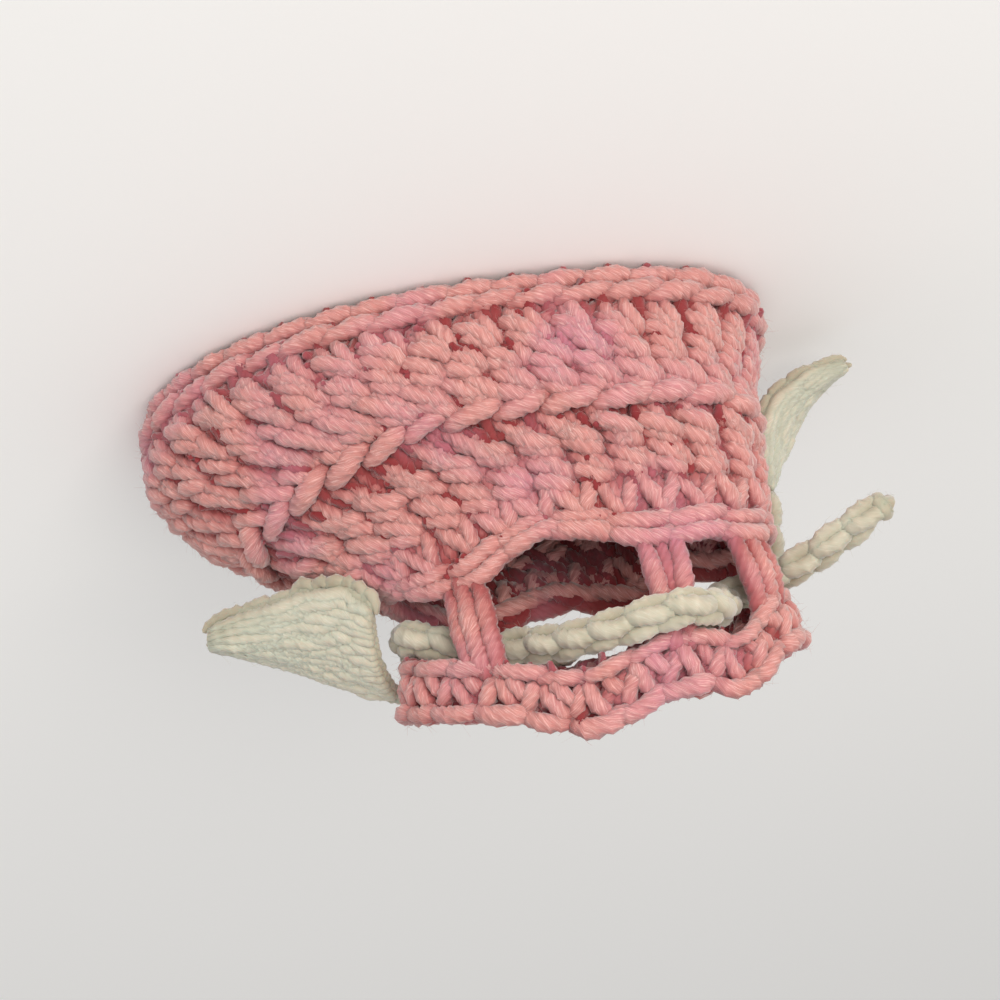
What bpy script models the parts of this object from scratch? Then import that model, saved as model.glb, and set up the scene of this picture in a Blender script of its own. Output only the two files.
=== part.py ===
"""A crocheted baby bootie: an oval sole, a one-piece upper with an eyelet round and a hem, a drawstring
woven through the eyelets with two free ends, a leaf on one end, and a broad leaf over the instep.

Metres, +Z up. The toe points along +X, the wearer's right is -Y, and the origin is on the floor under the
middle of the sole. Angles go round the foot: 0 is the toe, 90 the left side (+Y), 180 the heel.
"""

import math
from collections import namedtuple

import bmesh
import bpy
from mathutils import Vector

# Driving sizes
FOOT_LENGTH = 0.090
BALL_WIDTH = 0.052
HEEL_WIDTH = 0.047
SOLE_THICKNESS = 0.0030
SOLE_INSET = 0.0007
SOLE_EDGE_RADIUS = 0.0013
WALL = 0.003
ROUND_RELIEF = 0.0006
ANKLE_HEIGHT = 0.0380
EYELET_SAG = 0.0040
ANKLE_LENGTH = 0.0530
ANKLE_WIDTH = 0.0250
ANKLE_SETBACK = 0.0060
EYELET_HEIGHT = 0.0096
POST_WIDTH = 0.0044
HEM_HEIGHT = 0.0066
HEM_ARCH = 0.0026
HEM_FRONT_DIP = 0.0052
HEM_BACK_DIP = 0.0042
HEM_LEAN = 0.0040
HEM_END_FLARE = 0.0010
HEM_SIDE_PINCH = 0.0018
CORD_DIAMETER = 0.0054
LEAF_THICKNESS = 0.0026
FRONT_LEAF_WIDTH = 0.0210
FRONT_LEAF_OVERHANG = 0.0180
TIE_LEAF_LENGTH = 0.0225
TIE_LEAF_WIDTH = 0.0100
FIT_GAP = 0.0003

HEEL_X = -FOOT_LENGTH / 2
TOE_X = FOOT_LENGTH / 2
ANKLE_BACK_X = HEEL_X + ANKLE_SETBACK
ANKLE_FRONT_X = ANKLE_BACK_X + ANKLE_LENGTH
UPPER_FOOT_Z = SOLE_THICKNESS + FIT_GAP
HEM_FOOT_Z = ANKLE_HEIGHT + EYELET_HEIGHT

# How the wall closes in from the sole's edge (0) to the ankle (1). rise is a share of the way up at the
# sides and toe_rise the same at the toe, where the rounds climb. The other columns are shares of the way
# in, at the heel, the toe and the sides.
Form = namedtuple("Form", "rise toe_rise heel_in toe_in side_in")
FORMS = (
    Form(0.000, 0.000, 0.00, 0.000, 0.000),
    Form(0.132, 0.150, 0.40, -0.010, 0.010),
    Form(0.250, 0.290, 0.62, 0.045, 0.080),
    Form(0.363, 0.440, 0.73, 0.168, 0.240),
    Form(0.448, 0.585, 0.77, 0.387, 0.450),
    Form(0.575, 0.705, 0.84, 0.630, 0.690),
    Form(0.725, 0.810, 0.94, 0.806, 0.860),
    Form(0.840, 0.895, 0.99, 0.910, 0.950),
    Form(1.000, 1.000, 1.00, 1.000, 1.000),
)

# The crocheted rounds from the sole up to the eyelets. level is a share of the rise, and proud is how far
# that line stands out, in units of ROUND_RELIEF: the two ridges of loops most, the grooves least.
Line = namedtuple("Line", "name level proud")
WALL_LINES = (
    Line("foot of the sole ridge", 0.000, 1.0),
    Line("crown of the sole ridge", 0.042, 2.0),
    Line("first groove", 0.090, 0.0),
    Line("first side round, low", 0.137, 1.0),
    Line("first side round, high", 0.203, 1.0),
    Line("second groove", 0.250, 0.0),
    Line("second side round, low", 0.301, 1.0),
    Line("second side round, high", 0.363, 1.0),
    Line("groove under the ridge", 0.410, 0.2),
    Line("crown of the side ridge", 0.448, 2.0),
    Line("groove over the ridge", 0.485, 0.0),
    Line("tall round, low", 0.546, 1.0),
    Line("tall round, high", 0.641, 1.0),
    Line("third groove", 0.707, 0.0),
    Line("ankle round, low", 0.765, 1.0),
    Line("ankle round, high", 0.830, 1.0),
    Line("groove under the chain", 0.890, 0.2),
    Line("crown of the chain", 0.945, 1.6),
    Line("top of the chain", 1.000, 1.0),
)
MOST_PROUD = 2.0
# Between the chain and the hem only the posts stand.
POST_LINES = (
    Line("post, low", 0.33, 0.6),
    Line("post, high", 0.67, 0.6),
)
HEM_LINES = (
    Line("foot of the hem", 0.00, 0.8),
    Line("first hem round", 0.25, 1.4),
    Line("hem groove", 0.50, 0.4),
    Line("second hem round", 0.78, 1.4),
    Line("rim", 1.00, 0.6),
)

# The six posts of the eyelet round, by their angle at the ankle. For the gap that follows each, arch_after is
# the hem's arch over it as a share of HEM_ARCH, and sag_after the chain's sag under it as a share of EYELET_SAG.
Post = namedtuple("Post", "name angle arch_after sag_after")
POSTS = (
    Post("left front", 57, 0.4, 0.7),
    Post("left side", 105, 0.4, 0.7),
    Post("left back", 143, 0.3, 0.7),
    Post("right back", 207, 1.0, 0.1),
    Post("right side", 246, 1.0, 1.0),
    Post("right front", 303, 0.4, 1.0),
)
POST_WAIST = 0.75
POST_FOOT = 1.5
COLUMN_WIDTH = 0.0028
SOLE_FULLNESS = 2.3
ANKLE_FULLNESS = 2.1
BALL_FROM, BALL_TO = -0.6, 0.3
SAG_FROM = 0.70

# The drawstring's run round the ankle: the angle, how far out of the wall's middle (1 outside, -1 inside),
# and its height as a share of the way from the chain to the hem.
Weave = namedtuple("Weave", "angle side height")
WEAVES = (
    Weave(209, -1.4, 0.45),
    Weave(246, 1, 0.80),
    Weave(303, -1, 0.60),
    Weave(360, 0.15, 0.55),
    Weave(417, 1, 0.60),
    Weave(465, -1, 0.60),
    Weave(502, 1.1, 0.72),
)
STEPS_PER_WEAVE = 9

# The free ends' routes beyond the weave, chosen by hand, in cord diameters from the point of the wall's top
# edge at the back of the ankle. The short one leaves through the back eyelet and sticks out. The long one
# passes outside the left back post and hangs down behind the heel.
SHORT_END = (
    (1.11, 0.17, 0.76),
    (0.56, 0.19, 0.62),
    (0.04, 0.06, 0.50),
    (-0.44, -0.17, 0.44),
    (-0.93, -0.43, 0.33),
    (-1.41, -0.67, 0.18),
    (-1.89, -0.85, 0.02),
    (-2.37, -1.04, -0.13),
    (-2.59, -1.11, -0.19),
)
LONG_END = (
    (0.46, 1.94, 0.46),
    (0.30, 1.93, -0.09),
    (0.20, 1.93, -0.65),
    (0.11, 1.98, -1.20),
    (0.00, 2.06, -1.76),
    (-0.13, 2.15, -2.30),
    (-0.28, 2.24, -2.80),
)
SHORT_END_LENGTH = 0.0345
LONG_END_LENGTH = 0.0355
CORD_STEP = 0.0022
CAP_STEP = 0.0006
CORD_JOINT_GAP = 0.0007
CORD_SIDES_RESOLUTION = 2

# Outlines of the leaves: place along the midrib and half width, both shares.
LeafRow = namedtuple("LeafRow", "along half")
FRONT_LEAF = (
    LeafRow(0.00, 0.88),
    LeafRow(0.15, 1.00),
    LeafRow(0.32, 1.00),
    LeafRow(0.50, 0.92),
    LeafRow(0.68, 0.72),
    LeafRow(0.84, 0.46),
    LeafRow(0.95, 0.26),
    LeafRow(1.00, 0.14),
)
TIE_LEAF = (
    LeafRow(0.00, 0.34),
    LeafRow(0.18, 0.72),
    LeafRow(0.38, 1.00),
    LeafRow(0.58, 0.90),
    LeafRow(0.78, 0.58),
    LeafRow(0.92, 0.34),
    LeafRow(1.00, 0.18),
)
FRONT_LEAF_TILT = math.radians(34)
FRONT_LEAF_CUP = 0.0022
TIE_LEAF_CUP = 0.0008
LEAF_REST_RISE = 0.66
FRONT_LEAF_ROOT_LIFT = 0.0018
FRONT_LEAF_TIP_DROP = 0.0030
TIE_LEAF_SIDE = Vector((0.30, -0.90, -0.30)).normalized()

PINK = (0.86, 0.42, 0.43, 1.0)
DEEP_PINK = (0.80, 0.36, 0.38, 1.0)
WHITE = (0.86, 0.83, 0.74, 1.0)


def clear_scene():
    for thing in list(bpy.data.objects):
        bpy.data.objects.remove(thing)


def named_collection(name):
    made = bpy.data.collections.new(name)
    bpy.context.scene.collection.children.link(made)
    return made


def yarn_material(name, colour, roughness):
    made = bpy.data.materials.new(name)
    made.use_nodes = True
    shader = made.node_tree.nodes["Principled BSDF"]
    shader.inputs["Base Color"].default_value = colour
    shader.inputs["Roughness"].default_value = roughness
    shader.inputs["Metallic"].default_value = 0.0
    return made


def mix(a, b, share):
    return a + (b - a) * share


def ease(low, high, value):
    share = min(1.0, max(0.0, (value - low) / (high - low)))
    return share * share * (3 - 2 * share)


def form_at(rise):
    """The form's shares at a rise, smoothly between the rows of FORMS."""
    rise = min(1.0, max(0.0, rise))
    upper = next(i for i, row in enumerate(FORMS) if row.rise >= rise)
    if upper == 0:
        return FORMS[0]
    before = FORMS[max(0, upper - 2)]
    low, high = FORMS[upper - 1], FORMS[upper]
    after = FORMS[min(len(FORMS) - 1, upper + 1)]
    share = (rise - low.rise) / (high.rise - low.rise)
    values = []
    for a, b, c, d in zip(before, low, high, after):
        values.append(
            b + 0.5 * share * ((c - a) + share * ((2 * a - 5 * b + 4 * c - d) + share * (3 * (b - c) + d - a)))
        )
    return Form(*values)


def outline(angle, heel_x, toe_x, ball_half, heel_half, fullness):
    """A point of an egg-like oval round the foot."""
    along, across = math.cos(angle), math.sin(angle)
    power = 2 / fullness
    half = mix(heel_half, ball_half, ease(BALL_FROM, BALL_TO, along))
    x = (heel_x + toe_x) / 2 + (toe_x - heel_x) / 2 * math.copysign(abs(along) ** power, along)
    y = half * math.copysign(abs(across) ** power, across)
    return x, y


def wall_outline(angle, rise):
    """The wall's outermost line in plan, at a rise from the sole's edge (0) to the ankle (1)."""
    form = form_at(rise)
    return outline(
        angle,
        mix(HEEL_X, ANKLE_BACK_X, form.heel_in),
        mix(TOE_X, ANKLE_FRONT_X, form.toe_in),
        mix(BALL_WIDTH, ANKLE_WIDTH, form.side_in) / 2,
        mix(HEEL_WIDTH, ANKLE_WIDTH, form.side_in) / 2,
        mix(SOLE_FULLNESS, ANKLE_FULLNESS, form.side_in),
    )


def wall_height(angle, rise):
    """The height of a round, which climbs towards the toe. The last rounds sag between the posts."""
    form = form_at(rise)
    toe_share = max(0.0, math.cos(angle)) ** 2
    post, share = gap_at(angle)
    sag = EYELET_SAG * post.sag_after * math.sin(math.pi * share) ** 2 * ease(SAG_FROM, 1.0, rise)
    return mix(UPPER_FOOT_Z, ANKLE_HEIGHT, mix(form.rise, form.toe_rise, toe_share)) - sag


def outward(angle, rise):
    """The level direction that points out of the wall."""
    step = 1e-3
    x1, y1 = wall_outline(angle - step, rise)
    x2, y2 = wall_outline(angle + step, rise)
    return Vector((y2 - y1, x1 - x2, 0)).normalized()


def wall_point(angle, rise, proud=MOST_PROUD, out=0.0):
    """A point of the wall's outer side, with out metres added."""
    x, y = wall_outline(angle, rise)
    offset = ROUND_RELIEF * (proud - MOST_PROUD) + out
    return Vector((x, y, wall_height(angle, rise))) + outward(angle, rise) * offset


def gap_at(angle):
    """The post before an angle, and how far the angle is across the gap that follows it, from 0 to 1."""
    turn = math.degrees(angle) % 360
    starts = [post.angle for post in POSTS]
    index = max((i for i, start in enumerate(starts) if start <= turn), default=len(POSTS) - 1)
    start, end = starts[index], starts[(index + 1) % len(POSTS)]
    return POSTS[index], ((turn - start) % 360) / ((end - start) % 360)


def hem_arch(angle):
    """How much the hem is raised at an angle: arches over the gaps, a dip at toe and heel, and a lean that
    carries the right side higher than the left."""
    post, share = gap_at(angle)
    along = math.cos(angle)
    dip = HEM_FRONT_DIP * along**2 if along > 0 else HEM_BACK_DIP * along**4
    arch = HEM_ARCH * post.arch_after * math.sin(math.pi * share) ** 2
    return arch - dip - HEM_LEAN * math.sin(angle)


def collar_point(angle, height, proud, flare, raised):
    """A point of the eyelet round or the hem, at a height over the floor. raised is how much of the hem's
    arch it takes, and flare how much of its lean: outward at toe and heel, inward at the sides."""
    x, y = wall_outline(angle, 1.0)
    lean = mix(-HEM_SIDE_PINCH, HEM_END_FLARE, math.cos(angle) ** 2)
    offset = ROUND_RELIEF * (proud - MOST_PROUD) + lean * flare
    return Vector((x, y, height + raised * hem_arch(angle))) + outward(angle, 1.0) * offset


def ankle_speed(angle):
    """Metres along the ankle's outline for each radian."""
    step = 1e-3
    x1, y1 = wall_outline(angle - step, 1.0)
    x2, y2 = wall_outline(angle + step, 1.0)
    return math.hypot(x2 - x1, y2 - y1) / (2 * step)


def columns():
    """The angles of the upper's columns as (angle, post centre or None, side of the post or 0), and for each
    column whether an eyelet opens after it."""
    found, opens = [], []
    centres = [math.radians(post.angle) for post in POSTS]
    for index, centre in enumerate(centres):
        following = centres[(index + 1) % len(centres)]
        following += 2 * math.pi if following < centre else 0
        half = POST_WIDTH / 2 / ankle_speed(centre)
        next_half = POST_WIDTH / 2 / ankle_speed(following)
        found += [(centre - half, centre, -1), (centre, centre, 0), (centre + half, centre, 1)]
        opens += [False, False, True]
        start, end = centre + half, following - next_half
        length = sum(ankle_speed(mix(start, end, (i + 0.5) / 16)) for i in range(16)) * (end - start) / 16
        count = max(2, round(length / COLUMN_WIDTH))
        for i in range(1, count):
            found.append((mix(start, end, i / count), None, 0))
            opens.append(True)
    return found, opens


def upper_rings():
    """The upper's rings of points from the sole to the rim, and which two bound the eyelets."""
    columns_found, _ = columns()
    rings = []

    def angles(post_share):
        return [a if c is None else mix(c, a, post_share) for a, c, _ in columns_found]

    for line in WALL_LINES:
        rings.append([wall_point(a, line.level, line.proud) for a in angles(POST_FOOT)])
    low_edge = len(rings) - 1
    for line in POST_LINES:
        height = ANKLE_HEIGHT + EYELET_HEIGHT * line.level
        rings.append([collar_point(a, height, line.proud, 0.0, line.level) for a in angles(POST_WAIST)])
    high_edge = len(rings)
    for line in HEM_LINES:
        height = HEM_FOOT_Z + HEM_HEIGHT * line.level
        rings.append([collar_point(a, height, line.proud, line.level, 1.0) for a in angles(POST_FOOT)])
    return rings, low_edge, high_edge


def show(name, mesh, material, collection, smooth_angle=40):
    made = bpy.data.objects.new(name, mesh)
    mesh.materials.append(material)
    mesh.shade_smooth()
    mesh.set_sharp_from_angle(angle=math.radians(smooth_angle))
    collection.objects.link(made)
    return made


def build_upper(collection, material):
    """The wall as an open surface with the eyelets left out, thickened inward."""
    rings, low_edge, high_edge = upper_rings()
    _, opens = columns()
    count = len(opens)
    shape = bmesh.new()
    grid = [[shape.verts.new(point) for point in ring] for ring in rings]
    for row in range(len(rings) - 1):
        for column in range(count):
            if opens[column] and low_edge <= row < high_edge:
                continue
            after = (column + 1) % count
            shape.faces.new((grid[row][column], grid[row][after], grid[row + 1][after], grid[row + 1][column]))
    mesh = bpy.data.meshes.new("upper")
    shape.to_mesh(mesh)
    shape.free()
    made = show("upper", mesh, material, collection)
    thick = made.modifiers.new("wall", "SOLIDIFY")
    thick.thickness = WALL
    thick.offset = -1
    thick.use_even_offset = True
    return made


def build_sole(collection, material):
    """The flat oval sole with a rounded edge, on the same columns as the upper."""
    columns_found, _ = columns()
    edge_steps = 3
    rows = []
    for i in range(edge_steps + 1):
        turn = math.pi / 2 * i / edge_steps
        rows.append((SOLE_EDGE_RADIUS * (1 - math.sin(turn)), SOLE_EDGE_RADIUS * (1 - math.cos(turn))))
    rows += [(inset, SOLE_THICKNESS - height) for inset, height in reversed(rows)]
    shape = bmesh.new()
    rings = []
    for inset, height in rows:
        ring = []
        for angle, _, _ in columns_found:
            x, y = wall_outline(angle, 0.0)
            point = Vector((x, y, height)) - outward(angle, 0.0) * (SOLE_INSET + inset)
            ring.append(shape.verts.new(point))
        rings.append(ring)
    for low, high in zip(rings, rings[1:]):
        for i in range(len(low)):
            after = (i + 1) % len(low)
            shape.faces.new((low[i], low[after], high[after], high[i]))
    shape.faces.new(list(reversed(rings[0])))
    shape.faces.new(rings[-1])
    mesh = bpy.data.meshes.new("sole")
    shape.to_mesh(mesh)
    shape.free()
    return show("sole", mesh, material, collection)


def weave_point(angle, side, height):
    """A point of the drawstring's middle line. At a full side the cord just clears the wall."""
    clear = (WALL + CORD_DIAMETER) / 2 + FIT_GAP + ROUND_RELIEF
    middle = -WALL / 2 - ROUND_RELIEF
    turn = math.radians(angle)
    x, y = wall_outline(turn, 1.0)
    z = mix(wall_height(turn, 1.0), HEM_FOOT_Z + hem_arch(turn), height)
    return Vector((x, y, z)) + outward(turn, 1.0) * (middle + clear * side)


def drawstring_route():
    points = []
    for one, two in zip(WEAVES, WEAVES[1:]):
        for i in range(STEPS_PER_WEAVE):
            share = i / STEPS_PER_WEAVE
            bend = ease(0, 1, share)
            side, height = mix(one.side, two.side, bend), mix(one.height, two.height, bend)
            points.append(weave_point(mix(one.angle, two.angle, share), side, height))
    last = WEAVES[-1]
    points.append(weave_point(last.angle, last.side, last.height))
    return points


def smooth_route(knots):
    """Evenly spaced points on a smooth curve through the knots."""
    fine = []
    for i in range(len(knots) - 1):
        a, b = knots[max(0, i - 1)], knots[i]
        c, d = knots[i + 1], knots[min(len(knots) - 1, i + 2)]
        for j in range(12):
            t = j / 12
            fine.append(b + 0.5 * t * ((c - a) + t * ((2 * a - 5 * b + 4 * c - d) + t * (3 * (b - c) + d - a))))
    fine.append(knots[-1])
    lengths = [0.0]
    for one, two in zip(fine, fine[1:]):
        lengths.append(lengths[-1] + (two - one).length)
    return fine, lengths


def route_part(route, start, end):
    """The part of a measured route between two lengths, in even steps of about CORD_STEP."""
    fine, lengths = route
    count = max(2, round((end - start) / CORD_STEP))
    points = []
    stops = [mix(start, end, i / count) for i in range(count + 1)]
    stops[1:1] = [start + CAP_STEP]
    stops[-1:-1] = [end - CAP_STEP]
    for wanted in stops:
        high = next((k for k, length in enumerate(lengths) if length >= wanted), len(lengths) - 1)
        high = max(1, high)
        span = lengths[high] - lengths[high - 1]
        points.append(fine[high - 1].lerp(fine[high], (wanted - lengths[high - 1]) / span))
    return points


def free_end_point(steps):
    return Vector((ANKLE_BACK_X, 0, ANKLE_HEIGHT)) + Vector(steps) * CORD_DIAMETER


def whole_drawstring():
    """The one cord from the short free end's tip through the weave to the long free end's last point."""
    knots = [free_end_point(p) for p in reversed(SHORT_END)] + drawstring_route()
    return smooth_route(knots + [free_end_point(p) for p in LONG_END])


def build_cord(name, points, collection, material, round_start=False):
    line = bpy.data.curves.new(name, "CURVE")
    line.dimensions = "3D"
    line.bevel_depth = CORD_DIAMETER / 2
    line.bevel_resolution = CORD_SIDES_RESOLUTION
    line.use_fill_caps = True
    spline = line.splines.new("POLY")
    spline.points.add(len(points) - 1)
    for place, point in zip(spline.points, points):
        place.co = (*point, 1.0)
    if round_start:
        for index, radius in ((0, 0.6), (1, 0.9)):
            spline.points[index].radius = radius
    line.materials.append(material)
    made = bpy.data.objects.new(name, line)
    collection.objects.link(made)
    return made


def leaf_half(rows, share):
    high = next(i for i, row in enumerate(rows) if row.along >= share)
    if high == 0:
        return rows[0].half
    low = rows[high - 1]
    return mix(low.half, rows[high].half, (share - low.along) / (rows[high].along - low.along))


def build_leaf(name, rows, midrib, side, cup, width, collection, material, along_count=10):
    """A cupped leaf: a grid laid along its midrib, thickened about its middle and rounded."""
    across_count = 4
    shape = bmesh.new()
    bmesh.ops.create_grid(shape, x_segments=along_count, y_segments=across_count, size=0.5)
    for vert in shape.verts:
        share = min(1.0, max(0.0, vert.co.x + 0.5))
        across = vert.co.y * 2
        place, tangent = midrib(share)
        up = side.cross(tangent).normalized()
        half = leaf_half(rows, share) * width / 2
        vert.co = place + side * half * across + up * cup * across * across
    mesh = bpy.data.meshes.new(name)
    shape.to_mesh(mesh)
    shape.free()
    made = show(name, mesh, material, collection)
    thick = made.modifiers.new("thickness", "SOLIDIFY")
    thick.thickness = LEAF_THICKNESS
    thick.offset = 0
    rounded = made.modifiers.new("rounded", "SUBSURF")
    rounded.levels = 1
    rounded.render_levels = 1
    return made


def bezier(points):
    """A midrib as a cubic curve: a function of the share along it, giving place and direction."""
    a, b, c, d = points

    def at(share):
        left = 1 - share
        place = a * left**3 + b * (3 * left * left * share) + c * (3 * left * share * share) + d * share**3
        slope = (b - a) * left * left + (c - b) * (2 * left * share) + (d - c) * share * share
        return place, slope.normalized()

    return at


def front_leaf_midrib():
    """From the drawstring at the front of the ankle, down onto the instep, and out over the toe."""
    route = weave_point(360, WEAVES[3].side, WEAVES[3].height)
    root = route + Vector((CORD_DIAMETER / 2 + FIT_GAP + LEAF_THICKNESS * 0.4, 0, FRONT_LEAF_ROOT_LIFT))
    lift = LEAF_THICKNESS / 2 + FIT_GAP
    rest = wall_point(0, LEAF_REST_RISE) + Vector((0, 0, lift + FRONT_LEAF_WIDTH * 0.25))
    tip = rest + Vector((FRONT_LEAF_OVERHANG, 0, -FRONT_LEAF_TIP_DROP))
    return bezier((root, mix(root, rest, 0.5), mix(root, rest, 1.05), tip))


def tie_leaf_midrib():
    """From the long free end down behind the heel, and out backwards to the tip."""
    end = free_end_point(LONG_END[-1])
    heading = (end - free_end_point(LONG_END[-2])).normalized()
    start = end + heading * FIT_GAP
    tip = start + Vector((-0.70, -0.05, -0.72)) * TIE_LEAF_LENGTH
    bend = start + Vector((-0.20, -0.01, -0.62)) * TIE_LEAF_LENGTH
    return bezier((start, start + heading * TIE_LEAF_LENGTH * 0.35, bend, tip))


def build():
    clear_scene()
    bootie = named_collection("crocheted bootie")
    pink = yarn_material("pink yarn", PINK, 0.85)
    deep_pink = yarn_material("deep pink yarn", DEEP_PINK, 0.9)
    white = yarn_material("white yarn", WHITE, 0.85)
    build_sole(bootie, deep_pink)
    build_upper(bootie, pink)
    cord = whole_drawstring()
    full = cord[1][-1]
    short_end, long_start = SHORT_END_LENGTH, full - LONG_END_LENGTH
    build_cord("tie_end_short", route_part(cord, 0.0, short_end), bootie, white, round_start=True)
    build_cord("drawstring", route_part(cord, short_end + CORD_JOINT_GAP, long_start - CORD_JOINT_GAP), bootie, white)
    build_cord("tie_end_long", route_part(cord, long_start, full), bootie, white)
    tilt = Vector((0, math.cos(FRONT_LEAF_TILT), math.sin(FRONT_LEAF_TILT)))
    build_leaf(
        "front_leaf", FRONT_LEAF, front_leaf_midrib(), tilt, FRONT_LEAF_CUP, FRONT_LEAF_WIDTH, bootie, white
    )
    build_leaf(
        "tie_leaf", TIE_LEAF, tie_leaf_midrib(), TIE_LEAF_SIDE, TIE_LEAF_CUP, TIE_LEAF_WIDTH, bootie, white
    )


build()
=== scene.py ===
# %% [markdown]
# # A crocheted baby bootie
# The bootie is worked in rounds of thick, loosely plied acrylic yarn. What the eye reads first is the yarn
# itself: fat slanted strands, the plies wound round each of them, and the deep gaps between. A bump map on a
# smooth wall can't give that outline, so this lesson lays every strand as real geometry on the bootie's own
# surface, and leaves only the plies and the fibres to the material.

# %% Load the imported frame
import math

import bpy
import numpy as np
from mathutils import Matrix, Vector


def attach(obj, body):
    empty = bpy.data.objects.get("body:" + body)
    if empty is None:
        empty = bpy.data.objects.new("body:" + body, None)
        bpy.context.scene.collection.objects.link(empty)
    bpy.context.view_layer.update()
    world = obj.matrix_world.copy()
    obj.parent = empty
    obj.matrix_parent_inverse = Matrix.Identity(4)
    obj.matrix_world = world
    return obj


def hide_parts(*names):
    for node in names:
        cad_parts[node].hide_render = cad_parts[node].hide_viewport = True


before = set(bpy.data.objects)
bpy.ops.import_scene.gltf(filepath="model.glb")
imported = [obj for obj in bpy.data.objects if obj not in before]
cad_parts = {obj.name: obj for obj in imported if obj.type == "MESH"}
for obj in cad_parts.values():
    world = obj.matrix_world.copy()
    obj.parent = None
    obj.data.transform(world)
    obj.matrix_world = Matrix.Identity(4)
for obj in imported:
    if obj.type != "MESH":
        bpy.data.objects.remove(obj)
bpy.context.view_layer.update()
MM = 0.001
rng = np.random.default_rng(7)
print("packed nodes:", sorted(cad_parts))

# %% [markdown]
# ## The camera
# The photograph looks down on the bootie's right side with the cuff towards the bottom of the picture, so the
# camera stands a little above the floor on that side and is rolled by a little more than half a turn.

# %% Camera
AIM = Vector((-0.0035, -0.002, 0.0225))
ELEVATION = math.radians(26)
AZIMUTH = math.radians(3.3)
ROLL = math.radians(-190.6)
DISTANCE = 0.27
LENS = 70.7


def linked(name, data):
    """A new object that holds data, in the scene."""
    made = bpy.data.objects.new(name, data)
    bpy.context.scene.collection.objects.link(made)
    return made


def aimed_camera():
    level = math.cos(ELEVATION)
    away = Vector((-math.sin(AZIMUTH) * level, -math.cos(AZIMUTH) * level, math.sin(ELEVATION)))
    right = Vector((math.cos(AZIMUTH), -math.sin(AZIMUTH), 0))
    up = away.cross(right)
    turned = Matrix((right, up, away)).transposed() @ Matrix.Rotation(ROLL, 3, "Z")
    data = bpy.data.cameras.new("photo camera")
    data.lens = LENS
    data.clip_start = 0.01
    camera = linked("photo camera", data)
    camera.matrix_world = Matrix.Translation(AIM + away * DISTANCE) @ turned.to_4x4()
    bpy.context.scene.camera = camera
    return camera


camera = aimed_camera()
print("camera at", [round(v, 3) for v in camera.matrix_world.translation])

# %% [markdown]
# ## The bootie's surface
# Every strand is placed by three numbers: how far round the foot, how far up, and how far out of the wall.
# The same named sizes and the same form table as the solid model turn them into a point, so the yarn lies
# where the solid is.

# %% Sizes shared with the solid model
FOOT_LENGTH, BALL_WIDTH, HEEL_WIDTH = 0.090, 0.052, 0.047
SOLE_THICKNESS, FIT_GAP = 0.0030, 0.0003
ANKLE_HEIGHT, ANKLE_LENGTH, ANKLE_WIDTH, ANKLE_SETBACK = 0.0380, 0.0530, 0.0250, 0.0060
EYELET_SAG, SAG_FROM, EYELET_HEIGHT = 0.0040, 0.70, 0.0096
HEM_HEIGHT, HEM_ARCH, HEM_LEAN = 0.0066, 0.0026, 0.0040
HEM_END_FLARE, HEM_SIDE_PINCH = 0.0010, 0.0018
HEM_FRONT_DIP, HEM_BACK_DIP = 0.0052, 0.0042
CORD_DIAMETER, LEAF_THICKNESS = 0.0054, 0.0026
WALL, ROUND_RELIEF = 0.003, 0.0006
HEEL_X, TOE_X = -FOOT_LENGTH / 2, FOOT_LENGTH / 2
ANKLE_BACK_X = HEEL_X + ANKLE_SETBACK
ANKLE_FRONT_X = ANKLE_BACK_X + ANKLE_LENGTH
UPPER_FOOT_Z = SOLE_THICKNESS + FIT_GAP
HEM_FOOT_Z = ANKLE_HEIGHT + EYELET_HEIGHT
SOLE_FULLNESS, ANKLE_FULLNESS = 2.3, 2.1
BALL_FROM, BALL_TO = -0.6, 0.3

# Columns: rise, toe rise, heel in, toe in, side in, each a share of the way from the sole's edge to the
# ankle.
FORMS = np.array((
    (0.000, 0.000, 0.00, 0.000, 0.000),
    (0.132, 0.150, 0.40, -0.010, 0.010),
    (0.250, 0.290, 0.62, 0.045, 0.080),
    (0.363, 0.440, 0.73, 0.168, 0.240),
    (0.448, 0.585, 0.77, 0.387, 0.450),
    (0.575, 0.705, 0.84, 0.630, 0.690),
    (0.725, 0.810, 0.94, 0.806, 0.860),
    (0.840, 0.895, 0.99, 0.910, 0.950),
    (1.000, 1.000, 1.00, 1.000, 1.000),
))
# Columns: angle of the post at the ankle in degrees, and for the gap that follows, the height of the hem's
# arch over it and the chain's sag under it, as shares of HEM_ARCH and EYELET_SAG.
POSTS = np.array((
    (57, 0.4, 0.7), (105, 0.4, 0.7), (143, 0.3, 0.7), (207, 1.0, 0.1), (246, 1.0, 1.0), (303, 0.4, 1.0)))


# %% Points on the surface
def mix(a, b, share):
    return a + (b - a) * share


def ease(low, high, value):
    share = np.clip((value - low) / (high - low), 0, 1)
    return share * share * (3 - 2 * share)


def through(knots, shares):
    """Points on a smooth curve through knots, for shares from 0 to 1 along the knots' own first axis."""
    knots = np.asarray(knots, float)
    last = len(knots) - 1
    at = np.clip(np.asarray(shares) * last, 0, last - 1e-9)
    i = at.astype(int)
    t = (at - i).reshape(-1, *([1] * (knots.ndim - 1)))
    a, b = knots[np.maximum(i - 1, 0)], knots[i]
    c, d = knots[i + 1], knots[np.minimum(i + 2, last)]
    return b + 0.5 * t * ((c - a) + t * ((2 * a - 5 * b + 4 * c - d) + t * (3 * (b - c) + d - a)))


FINE_ROWS = np.linspace(0, 1, 161)
FORM_SAMPLES = through(FORMS, FINE_ROWS)


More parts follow.
